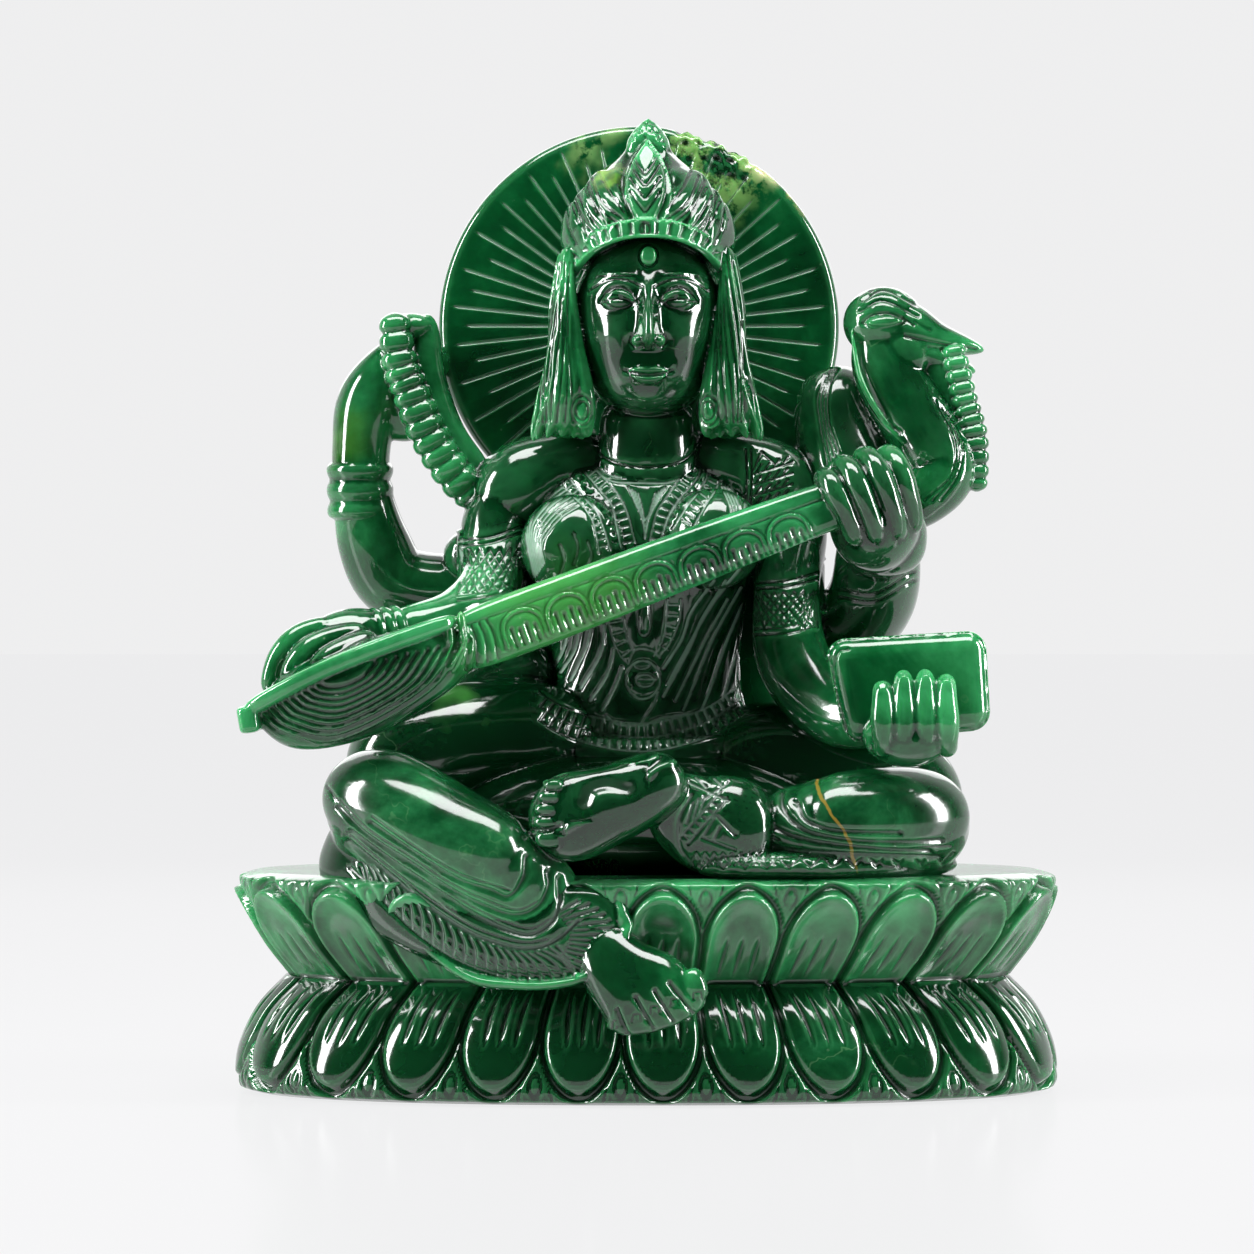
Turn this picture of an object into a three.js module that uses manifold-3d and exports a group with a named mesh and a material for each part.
// A seated four-armed musician carved from one block of green stone: an oval lotus
// throne of two petal rows, the figure with its lute, rosary, tablet and swan, and a
// ribbed halo behind the head. Millimetres, +Z up, the front faces -Y.
import * as THREE from 'three';
import { mergeVertices } from 'three/addons/utils/BufferGeometryUtils.js';
import Module from 'manifold-3d';

const wasm = await Module();
wasm.setup();

// Throne
const THRONE_WIDTH = 214;
const THRONE_DEPTH = 108;
const LOWER_ROW_HEIGHT = 29.5;
const UPPER_ROW_HEIGHT = 26.5;
const WAIST_INSET = 13.5;
const PETAL_COUNT = 24;
const PETAL_RELIEF = 4;

// Figure, whose pose is written as if it were 194 tall and is scaled to its height
const POSE_HEIGHT = 194;
const FIGURE_HEIGHT = 194;
const FOLD_DEPTH = 1.8;
const CROWN_HEIGHT = 39;
const CROWN_RADIUS = 22;

// Halo
const HALO_RADIUS = 52.5;
const HALO_THICKNESS = 8;
const HALO_RAY_COUNT = 26;
const RAY_DEPTH = 0.9;

// Lute, tablet and strings of beads
const LUTE_NECK_HEIGHT = 14.5;
const LUTE_NECK_DEPTH = 11;
const LUTE_BOWL_DEPTH = 21;
const LUTE_FLUTE_COUNT = 8;
const FLUTE_DEPTH = 1.2;
const TABLET_WIDTH = 39;
const TABLET_HEIGHT = 24;
const TABLET_THICKNESS = 7;
const TABLET_CORNER = 4.5;
const ROSARY_BEAD_COUNT = 11;
const SWAN_BEAD_COUNT = 9;
const BEAD_RADIUS = 3.9;

const SEAT = LOWER_ROW_HEIGHT + UPPER_ROW_HEIGHT;
const FULL_TURN = 2 * Math.PI;
const X_AXIS = new THREE.Vector3(1, 0, 0);
const Y_AXIS = new THREE.Vector3(0, 1, 0);
const Z_AXIS = new THREE.Vector3(0, 0, 1);

// A closed geometry as a manifold-3d solid, with its faces turned outwards.
function solid(geometry) {
  const bare = geometry.clone();
  bare.deleteAttribute('normal');
  bare.deleteAttribute('uv');
  const merged = mergeVertices(bare, 1e-4);
  const corners = merged.attributes.position;
  const triVerts = Uint32Array.from(merged.index.array);
  const [a, b, c] = [new THREE.Vector3(), new THREE.Vector3(), new THREE.Vector3()];
  let volume = 0;
  for (let i = 0; i < triVerts.length; i += 3) {
    a.fromBufferAttribute(corners, triVerts[i]);
    b.fromBufferAttribute(corners, triVerts[i + 1]);
    c.fromBufferAttribute(corners, triVerts[i + 2]);
    volume += a.dot(b.cross(c));
  }
  if (volume < 0) {
    for (let i = 0; i < triVerts.length; i += 3) {
      [triVerts[i + 1], triVerts[i + 2]] = [triVerts[i + 2], triVerts[i + 1]];
    }
  }
  const vertProperties = Float32Array.from(corners.array);
  return new wasm.Manifold(new wasm.Mesh({ numProp: 3, vertProperties, triVerts }));
}

// A sphere drawn out along a smooth line. Each station is [x, y, z, half width, half
// thickness]; `across` is the way the width runs, `blunt` how square the ends are,
// `square` how square the section is and `flute` how deep every other side is cut in.
function limb(stations, options = {}) {
  const { sides = 8, rings = 6, across = X_AXIS, blunt = 4, square = 2, flute = 0 } = options;
  const line = new THREE.CatmullRomCurve3(stations.map(([x, y, z]) => new THREE.Vector3(x, y, z)));
  const sizes = new THREE.CatmullRomCurve3(stations.map(([, , , w, t]) => new THREE.Vector3(w, t, 0)));
  const geometry = new THREE.SphereGeometry(1, sides, rings);
  const position = geometry.attributes.position;
  const rounded = (v) => Math.sign(v) * Math.abs(v) ** (2 / square);
  for (let ring = 0; ring <= rings; ring++) {
    const t = (1 - Math.cos((Math.PI * ring) / rings)) / 2;
    const centre = line.getPoint(t);
    const size = sizes.getPoint(t);
    const along = line.getTangent(t);
    const side = across.clone().addScaledVector(along, -across.dot(along)).normalize();
    const depth = along.clone().cross(side);
    const end = Math.sqrt(Math.max(0, 1 - Math.abs(2 * t - 1) ** blunt));
    for (let k = 0; k <= sides; k++) {
      const angle = (FULL_TURN * k) / sides;
      const cutIn = k % 2 ? flute : 0;
      const point = centre.clone()
        .addScaledVector(side, rounded(Math.cos(angle)) * (size.x - cutIn) * end)
        .addScaledVector(depth, rounded(Math.sin(angle)) * (size.y - cutIn) * end);
      position.setXYZ(ring * (sides + 1) + k, point.x, point.y, point.z);
    }
  }
  return geometry;
}

// An ellipsoid.
function blob([x, y, z], [rx, ry, rz], { sides = 8, rings = 6 } = {}) {
  return new THREE.SphereGeometry(1, sides, rings).rotateX(Math.PI / 2).scale(rx, ry, rz).translate(x, y, z);
}

// A string of touching beads: rings that swell and pinch in turn along a smooth line.
function beads(stations, count, radius, { waist = 0.74, sides = 6 } = {}) {
  const line = new THREE.CatmullRomCurve3(stations.map((p) => new THREE.Vector3(...p)));
  const rings = count * 2;
  const geometry = new THREE.SphereGeometry(1, sides, rings);
  for (let ring = 0; ring <= rings; ring++) {
    const at = line.getPointAt(ring / rings);
    const isEnd = ring === 0 || ring === rings;
    const size = isEnd ? 0 : radius * (ring % 2 ? 1 : waist);
    for (let k = 0; k <= sides; k++) {
      const angle = (FULL_TURN * k) / sides;
      geometry.attributes.position.setXYZ(
        ring * (sides + 1) + k, at.x + size * Math.cos(angle), at.y + size * Math.sin(angle), at.z);
    }
  }
  return geometry;
}

// The throne's plan, an oval a little squarer than an ellipse.
class Oval extends THREE.Curve {
  constructor(halfWidth, halfDepth, squareness = 2.3) {
    super();
    Object.assign(this, { halfWidth, halfDepth, squareness });
  }

  getPoint(t, target = new THREE.Vector3()) {
    const bulge = (v) => Math.sign(v) * Math.abs(v) ** (2 / this.squareness);
    const angle = FULL_TURN * t;
    return target.set(this.halfWidth * bulge(Math.cos(angle)), this.halfDepth * bulge(Math.sin(angle)), 0);
  }
}

// How far a petal stands out: `across` runs from -1 to 1 over it, `up` from its root, 0, to its tip, 1.
function petalRelief(across, up) {
  const halfWidth = up < 0.5 ? 1 : 0.5 + 0.5 * Math.sqrt(1 - ((up - 0.5) / 0.5) ** 2);
  const share = Math.abs(across) / halfWidth;
  return share > 0.999 ? 0 : PETAL_RELIEF * (1 - share ** 4);
}

// One ring of petals. Each profile step is [inset from the plan, z, how far up the petal];
// the first and last step are carried in to the axis as flat faces.
function petalRow(profile) {
  const columns = [-1, -0.5, 0.5];
  const plan = new Oval(THRONE_WIDTH / 2 - PETAL_RELIEF, THRONE_DEPTH / 2 - PETAL_RELIEF);
  plan.arcLengthDivisions = 720;
  const steps = [[null, profile[0][1], 0], ...profile, [null, profile.at(-1)[1], 1]];
  const segments = PETAL_COUNT * columns.length;
  const outline = steps.map(([, z]) => new THREE.Vector2(1, z));
  const geometry = new THREE.LatheGeometry(outline, segments);
  for (let i = 0; i <= segments; i++) {
    const column = i % columns.length;
    const petal = Math.floor((i % segments) / columns.length);
    const share = (petal + (columns[column] + 1) / 2) / PETAL_COUNT;
    const at = plan.getPointAt(share);
    const along = plan.getTangentAt(share);
    const out = new THREE.Vector3(along.y, -along.x, 0);
    steps.forEach(([inset, z, up], j) => {
      const point = new THREE.Vector3();
      if (inset !== null) {
        point.copy(at).addScaledVector(out, petalRelief(columns[column], up) - inset);
      }
      geometry.attributes.position.setXYZ(i * steps.length + j, point.x, point.y, z);
    });
  }
  return geometry;
}

function throne() {
  const overlap = 0.8;
  const lower = petalRow([
    [1.6, 0, 1],
    [0, 3.5, 0.88],
    [2.2, LOWER_ROW_HEIGHT * 0.42, 0.62],
    [6.8, LOWER_ROW_HEIGHT * 0.73, 0.3],
    [WAIST_INSET, LOWER_ROW_HEIGHT + overlap, 0],
  ]);
  const upper = petalRow([
    [WAIST_INSET, LOWER_ROW_HEIGHT - overlap, 0],
    [7.5, LOWER_ROW_HEIGHT + UPPER_ROW_HEIGHT * 0.3, 0.3],
    [3.4, LOWER_ROW_HEIGHT + UPPER_ROW_HEIGHT * 0.58, 0.62],
    [0, SEAT - 3, 0.93],
    [2.2, SEAT, 1],
  ]);
  return [lower, upper];
}

function torso() {
  return [
    limb([
      [0, 9, 2, 33, 22], [0, 9, 22, 32, 20], [-0.5, 9, 42, 25.5, 17], [-0.5, 9, 58, 24.5, 16.5],
      [-0.5, 9, 76, 28, 18], [0, 10, 92, 34, 17], [0.5, 11, 101, 29, 13], [0.5, 11, 107, 15, 11],
    ], { sides: 10, rings: 8, blunt: 10 }),
    blob([-19, -5, 83], [13.5, 12, 13.5], { rings: 5 }),
    blob([17, -5, 85], [13, 11.5, 13], { rings: 5 }),
    blob([-2, -2, 14], [56, 36, 19], { sides: 10, rings: 5 }),
    limb([[-28, 4, 36, 3, 3], [-16, -8, 31, 3, 3.4], [0, -12, 30, 3, 3.8], [16, -8, 31, 3, 3.4], [28, 4, 36, 3, 3]],
      { sides: 5, rings: 5, across: Z_AXIS }),
    limb([[-2, 16, 20, 48, 9], [-2, 16, 52, 41, 9], [0, 16, 95, 38, 10]], { sides: 6, rings: 4, blunt: 12 }),
  ];
}

function head() {
  const face = [
    limb([[0.5, 8, 98, 15, 12], [0.5, 7, 108, 12, 11], [0.5, 4, 122, 11.5, 10]], { sides: 10, rings: 4, blunt: 8 }),
    limb([
      [0.3, -2.5, 116.2, 8.5, 8], [0.3, -1, 123, 13.5, 12.3], [0.3, 2, 134, 17.6, 16.8], [0.3, 3, 146, 18.8, 18],
      [0.3, 4, 163, 18, 18],
    ], { sides: 12, rings: 7, blunt: 5 }),
    limb([[0.3, -13, 149, 1.6, 2], [0.3, -15.5, 141, 1.8, 2.2], [0.3, -17, 136.5, 3, 2.6], [0.3, -14.5, 133, 3.4, 2]],
      { sides: 5, rings: 5 }),
    blob([0.3, -12.6, 126.8], [5, 2.6, 2.2], { sides: 6, rings: 4 }),
  ];
  for (const side of [-1, 1]) {
    face.push(blob([0.3 + side * 8, -11.8, 145.6], [4.6, 3, 2.2], { sides: 6, rings: 4 }));
  }
  return face;
}

function hair() {
  const locks = [
    blob([0, 14, 140], [21, 12, 24], { sides: 8, rings: 5 }),
    limb([[0, 20, 130, 20, 8], [0, 22, 112, 22, 7], [0, 22, 96, 20, 6]], { rings: 4 }),
  ];
  for (const side of [-1, 1]) {
    locks.push(
      limb([
        [side * 19.5, 8, 159, 4, 6], [side * 21.5, 6, 145, 5.5, 8], [side * 23, 3, 131, 6, 7.5],
        [side * 23, 0, 119, 7, 5.5], [side * 22, -3, 108, 7, 4],
      ], { sides: 6 }),
      blob([side * 17.5, -4, 113], [3.4, 2.4, 3.6], { sides: 6, rings: 4 }),
    );
  }
  return locks;
}

function crown() {
  const foot = POSE_HEIGHT - CROWN_HEIGHT;
  const profile = [
    [0, 0], [0.91, 0.026], [1, 0.14], [0.92, 0.26], [0.89, 0.46], [0.68, 0.64], [0.43, 0.69], [0.42, 0.83], [0, 1],
  ].map(([across, up]) => new THREE.Vector2(across * CROWN_RADIUS, foot + up * CROWN_HEIGHT));
  const dome = new THREE.LatheGeometry(profile, 12)
    .rotateX(Math.PI / 2)
    .scale(1, 0.94, 1)
    .translate(0.3, 5, 0);
  const parts = [dome];
  // Leaves stand round the front, the tallest in the middle.
  const leaves = [[0, 0.64, 5], [34, 0.54, 6], [-34, 0.54, 6], [70, 0.41, 6.5], [-70, 0.41, 6.5]];
  for (const [degrees, share, width] of leaves) {
    const height = share * CROWN_HEIGHT;
    const turn = THREE.MathUtils.degToRad(degrees);
    const across = new THREE.Vector3(Math.cos(turn), Math.sin(turn), 0);
    const flare = Math.abs(degrees) / 35;
    const station = (radius, z, w, t) => [0.3 + radius * Math.sin(turn), 5 - radius * 0.94 * Math.cos(turn), z, w, t];
    parts.push(limb([
      station(CROWN_RADIUS * 0.86, foot + 5, width * 0.7, 2),
      station(CROWN_RADIUS * 0.93 + flare, foot + 6 + height * 0.5, width, 2.6),
      station(CROWN_RADIUS * 0.8 + 2 * flare, foot + 6 + height, width * 0.5, 1.6),
    ], { sides: 6, rings: 4, across, blunt: 3 }));
  }
  return parts;
}

// The halo is a disc whose front is cut into shallow rays round a plain middle.
function halo() {
  const segments = HALO_RAY_COUNT * 2;
  const outline = [
    [0, 0], [HALO_RADIUS, 1.5], [HALO_RADIUS, HALO_THICKNESS - 2.4], [HALO_RADIUS - 3, HALO_THICKNESS],
    [0, HALO_THICKNESS],
  ];
  const disc = new THREE.LatheGeometry(outline.map(([r, depth]) => new THREE.Vector2(r, depth)), segments);
  const position = disc.attributes.position;
  for (let i = 1; i <= segments; i += 2) {
    const k = i * outline.length + 3;
    position.setY(k, position.getY(k) - RAY_DEPTH);
  }
  return disc.rotateX(Math.PI).translate(-2, 30, 141.3);
}

function frontArms() {
  return [
    limb([
      [-35, 8, 100, 10, 10], [-39.5, 5, 88, 8.8, 8.8], [-40, -4, 74, 8, 8], [-48, -17, 65.5, 7, 7],
      [-59, -26, 62.5, 5.8, 5.8], [-68, -30, 61.5, 5.4, 5.4],
    ], { across: Y_AXIS, rings: 8, blunt: 6 }),
    limb([
      [35, 8, 100, 10, 10], [38, 5, 87, 8.8, 8.8], [36, -2, 72, 8.4, 8.4], [37.5, -7, 54, 9.5, 9.5],
      [48, -20, 41, 9, 9], [63, -37, 38, 8, 7.5],
    ], { rings: 7, blunt: 6 }),
    blob([-40, 0.5, 79], [9, 9, 5], { rings: 3 }),
    blob([36, -1.5, 73], [9.4, 9.4, 5.5], { rings: 3 }),
  ];
}

function strummingHand() {
  const fingers = [
    [[-71, -33, 62.5, 3, 3], [-84, -36, 61.5, 3, 3], [-92, -38, 55, 2.9, 2.9], [-95, -38, 46, 2.6, 2.6]],
    [[-71, -36, 61, 3.2, 3.2], [-81, -40, 58.5, 3.2, 3.2], [-88, -42, 52.5, 3, 3], [-90, -42, 45, 2.6, 2.6]],
    [[-69, -38, 59, 3.2, 3.2], [-75, -43, 56, 3.2, 3.2], [-81, -45, 51.5, 3, 3], [-83, -45, 45, 2.6, 2.6]],
  ];
  return [
    limb([[-64, -29, 61.5, 6, 5.5], [-75, -33, 58.5, 8.5, 6.5], [-84, -35, 54, 7.5, 5]], { across: Z_AXIS, rings: 5 }),
    ...fingers.map((finger) => limb(finger, { sides: 5, rings: 5, across: Y_AXIS })),
  ];
}

function rearArms() {
  const wrist = [[-74.4, 13.4, 91], [-74.6, 13, 98], [-74.6, 12.6, 105]];
  return [
    limb([
      [-36, 18, 78, 9, 9], [-51, 20, 72, 10, 10], [-65, 18, 74, 10.5, 10], [-71, 15, 84, 9.5, 9.5],
      [-74, 13, 98, 7.6, 7.6], [-74.2, 12, 109, 7.6, 7.6], [-72, 11, 122, 8.2, 8.2], [-65, 9, 137, 5, 5],
    ], { rings: 9, across: Y_AXIS, blunt: 8 }),
    limb([[-71, 12, 124, 6, 4.5], [-63, 11, 121, 7, 4.5], [-57, 9, 118, 5, 4]], { sides: 6, rings: 4, across: Z_AXIS }),
    limb([
      [38, 22, 62, 9, 9], [50, 15, 61, 11, 10.5], [57.5, 4, 69, 11.5, 11], [59, -7, 80, 11, 11], [57, -16, 91, 10, 10],
    ], { rings: 6, blunt: 6 }),
    beads(wrist, 3, 9, { waist: 0.88, sides: 7 }),
  ];
}

function rosary() {
  return [
    beads([[-66.5, 6, 141], [-62.5, 6.5, 130], [-58.5, 7, 120], [-54, 8, 109], [-46, 10, 95]],
      ROSARY_BEAD_COUNT, BEAD_RADIUS, { sides: 5 }),
    limb([
      [-57.5, 10, 142.5, 4.2, 3.5], [-56.2, 10, 131, 4, 4], [-55, 10, 119, 4, 4], [-50, 11, 108, 3.6, 4],
      [-42, 13, 98, 4, 4],
    ], { sides: 6, rings: 6 }),
    limb([[-57, 13, 136, 3.5, 4], [-52, 20, 134, 3, 4], [-47, 27, 133, 3, 4]], { sides: 5, rings: 3, across: Z_AXIS }),
  ];
}

function fist() {
  const fingers = [
    [[45.5, -33, 101, 3, 3], [46, -38, 96, 3, 3], [50, -37, 88.5, 2.8, 2.8]],
    [[49.5, -32, 104, 3, 3], [51, -37.5, 98, 3, 3], [55.5, -37, 89.5, 2.8, 2.8]],
    [[54, -30.5, 105.5, 3, 3], [56.7, -36, 100, 3, 3], [60.6, -35, 91.5, 2.8, 2.8]],
    [[59.5, -28, 106.5, 3, 3], [62.5, -33, 101.5, 3, 3], [66.5, -31, 93.5, 2.8, 2.8]],
  ];
  return [
    blob([56.5, -22, 91.5], [12, 13, 13.5]),
    ...fingers.map((finger) => limb(finger, { sides: 5, rings: 3 })),
  ];
}

// The lute runs from its fluted bowl at the lower left up to the fist.
function lute() {
  const up = new THREE.Vector3(-0.36, 0, 0.93);
  const half = LUTE_NECK_HEIGHT / 2;
  const deep = LUTE_NECK_DEPTH / 2;
  const bowlDeep = LUTE_BOWL_DEPTH / 2;
  return [
    limb([
      [-52, -40, 56, half * 1.1, deep], [-20, -36, 68, half * 1.07, deep], [10, -33, 79.5, half, deep],
      [42, -31, 91.5, half * 0.86, deep], [64, -27, 99, half * 0.75, deep * 0.9],
    ], { sides: 8, rings: 6, across: up, blunt: 14, square: 4 }),
    limb([[-34, -18, 62, 5.5, 18], [0, -17, 75, 5.5, 17], [32, -16, 87, 5, 16]], { rings: 4, across: up, blunt: 10 }),
    limb([
      [-98, -43, 40, 3.5, 3], [-88, -42, 41.5, 10, bowlDeep * 0.7], [-72, -42, 46.5, 11.8, bowlDeep],
      [-57, -42, 53, 10, bowlDeep * 0.85], [-42, -42, 60, 7.5, 6],
    ], { sides: LUTE_FLUTE_COUNT * 2, rings: 6, across: up, blunt: 6, flute: FLUTE_DEPTH }),
    limb([[-100, -44, 41.5, 2.2, 5], [-84, -45, 50.2, 2.2, 8], [-68, -45, 57, 2.2, 9], [-47, -44, 64.5, 2.2, 7]],
      { sides: 6, rings: 4, across: up, blunt: 12, square: 4 }),
    limb([[-99.5, -43.5, 43, 2.8, 5], [-98.5, -43.5, 36, 2.6, 5]], { sides: 6, rings: 3, blunt: 10, square: 4 }),
  ];
}

function tablet() {
  const [w, h, r] = [TABLET_WIDTH / 2, TABLET_HEIGHT / 2, TABLET_CORNER];
  const outline = new THREE.Shape();
  outline.moveTo(-w + r, -h);
  for (const [sx, sz, start] of [[1, -1, -0.5], [1, 1, 0], [-1, 1, 0.5], [-1, -1, 1]]) {
    outline.absarc(sx * (w - r), sz * (h - r), r, start * Math.PI, (start + 0.5) * Math.PI, false);
  }
  const edge = 1;
  const board = new THREE.ExtrudeGeometry(outline, {
    depth: TABLET_THICKNESS - 2 * edge,
    bevelThickness: edge,
    bevelSize: edge,
    bevelOffset: -edge,
    bevelSegments: 1,
    curveSegments: 2,
  }).rotateX(Math.PI / 2).rotateY(-0.06).rotateZ(-0.1).translate(65, -36, 48);
  const palm = limb([[54, -38, 36, 6, 6], [64, -41, 35.5, 7, 8], [74, -41, 37, 6, 6]], { across: Z_AXIS, rings: 5 });
  const fingers = [49.5, 51.8, 52.4, 51].map((top, i) => {
    const x = 57.6 + i * 5.2;
    return limb([[x, -44.5, 33, 2.6, 2.8], [x, -46.8, 42, 2.6, 2.6], [x, -44, top, 2.4, 2.4]], { sides: 5, rings: 3 });
  });
  return [board, palm, ...fingers];
}

function swan() {
  return [
    limb([
      [64, -12, 88, 7, 7], [75, -6, 100.5, 8.6, 8.6], [73.5, -4, 108, 9.2, 9.2], [68, -1, 118, 9.6, 9.2],
      [61.5, 1, 129, 8.8, 8.8], [60, 2, 141, 9, 8.5],
    ], { sides: 8, rings: 7, blunt: 6 }),
    blob([61, 2, 140.5], [10.6, 9, 9.4]),
    limb([[62, 1, 141, 7, 7], [70, 0, 136.5, 6.5, 6], [78, 0, 134, 3.2, 3.6], [87.5, 0, 133, 1.2, 1.4]],
      { sides: 6, rings: 5, across: Z_AXIS }),
    limb([[31, 17, 96, 8, 8], [43, 17, 98, 11, 9], [55, 9, 99, 9, 9]], { across: Z_AXIS, sides: 7, rings: 4 }),
    limb([[50, 20, 130, 7, 7], [52, 17, 121, 9.5, 10], [56, 9, 106, 10.5, 11], [61, -8, 81, 9, 11]], { rings: 5 }),
    limb([[74, -1, 137, 5, 3], [77, -2, 118, 6, 3], [80, -3, 101, 4.5, 3]], { sides: 5, rings: 4 }),
    beads([[78, -3, 136], [81, -4, 124], [84, -5, 112], [84, -5, 97]],
      SWAN_BEAD_COUNT, BEAD_RADIUS * 0.7, { sides: 5 }),
  ];
}

function pendantLeg() {
  const shin = [[-76, -24, 27, 12, 14], [-67, -32, 17, 14.5, 14], [-48, -44, 3, 13.5, 13], [-29, -50, -9, 11, 10]];
  return [
    limb([[-12, 4, 31, 18, 18], [-36, -2, 32, 17, 16], [-58, -12, 31, 16, 14], [-76, -22, 27, 12, 13]],
      { across: Z_AXIS, sides: 9, rings: 5 }),
    limb(shin, { across: Z_AXIS, sides: 14, rings: 5, flute: FOLD_DEPTH }),
    limb([
      [-78, -27, 8, 12, 11], [-62, -38, -3, 13, 12], [-42, -46, -12, 12, 11], [-24, -48, -14, 12, 10],
      [-7, -48, -14, 9, 8],
    ], { across: Z_AXIS, rings: 5 }),
    limb([
      [-78, -31, 5, 3, 4], [-65, -43, -8, 4, 4], [-46, -52, -19, 4.5, 4], [-29, -54, -22, 4.5, 4],
      [-14, -55, -19, 4, 4], [-9, -54, -7, 3.5, 3],
    ], { across: Z_AXIS, sides: 5, rings: 7 }),
  ];
}

function pendantFoot() {
  const across = new THREE.Vector3(0.96, 0, 0.28);
  const toes = [2.2, 2.3, 2.4, 2.5, 3].map((thick, i) => {
    const [x, z] = [-7.4 + i * 4.9, -36.6 + i * 1.5];
    return limb([[x - 3, -54, z + 7, thick, 2.6], [x - 1, -57, z + 3, thick, 2.8], [x, -57, z, thick, 2.4]],
      { sides: 5, rings: 3, across });
  });
  return [
    limb([[-14, -45, -13, 8, 7], [-8, -50.5, -21, 9.5, 6.5], [-1, -54, -28, 12.6, 5.5], [2, -55.5, -33, 13.4, 4]],
      { across, blunt: 10 }),
    ...toes,
  ];
}

function foldedLeg() {
  return [
    limb([[12, 4, 28, 17, 17], [36, -2, 26, 17, 16], [60, -10, 22, 16, 15], [79, -18, 16, 12.5, 13]],
      { across: Z_AXIS, sides: 9, rings: 5 }),
    limb([[79, -20, 15, 12.5, 13], [59, -31, 13, 14.5, 13.5], [40, -37, 12.5, 13.5, 12.5], [23, -38, 14.5, 11, 11]],
      { across: Z_AXIS, sides: 14, rings: 5, flute: FOLD_DEPTH }),
    limb([[26, -38, 12, 11, 9.5], [14, -40, 15, 10, 8.5], [2, -44, 24, 7, 6.5]], { across: Z_AXIS, rings: 5 }),
    limb([[76, -24, 2, 3, 4], [52, -40, 2, 3, 5], [28, -46, 2, 3, 5], [8, -46, 2, 3, 3]],
      { across: Z_AXIS, sides: 5, rings: 6 }),
  ];
}

function upturnedFoot() {
  const toes = [-2, -1, 0, 1, 2].map((step) => limb(
    [[-22 + step * 0.9, -52, 15.2 - step * 3.6, 2.1, 2.4], [-29 + step * 1.3, -50, 13.4 - step * 3.4, 1.9, 2.2]],
    { sides: 5, rings: 3 },
  ));
  return [
    limb([
      [8.5, -45, 25.5, 7, 7.5], [1.8, -48, 23.3, 8.7, 8], [-8.9, -49.5, 18.6, 9.8, 8], [-19.3, -49, 15.1, 10.3, 6.5],
      [-27.5, -47, 12.6, 9.5, 5],
    ], { across: new THREE.Vector3(0.35, 0, 0.94), blunt: 6 }),
    ...toes,
  ];
}

// Every part of the figure is scaled to its height, stood on the seat and joined to the throne.
const scale = FIGURE_HEIGHT / POSE_HEIGHT;
const figure = [
  torso(), head(), hair(), crown(), halo(), frontArms(), strummingHand(), rearArms(), rosary(), fist(), lute(),
  tablet(), swan(), pendantLeg(), pendantFoot(), foldedLeg(), upturnedFoot(),
].flat().map((geometry) => geometry.scale(scale, scale, scale).translate(0, 0, SEAT));

const carving = [...throne(), ...figure].map(solid).reduce((whole, piece) => whole.add(piece));
const made = carving.getMesh();
const geometry = new THREE.BufferGeometry()
  .setAttribute('position', new THREE.BufferAttribute(made.vertProperties, 3))
  .setIndex(new THREE.BufferAttribute(made.triVerts, 1));
geometry.computeVertexNormals();

const jade = new THREE.MeshStandardMaterial({ color: 0x0b5a25, roughness: 0.12, metalness: 0 });
const statue = new THREE.Mesh(geometry, jade);
statue.name = 'jade_carving';

const part = new THREE.Group();
part.add(statue);
export default part;
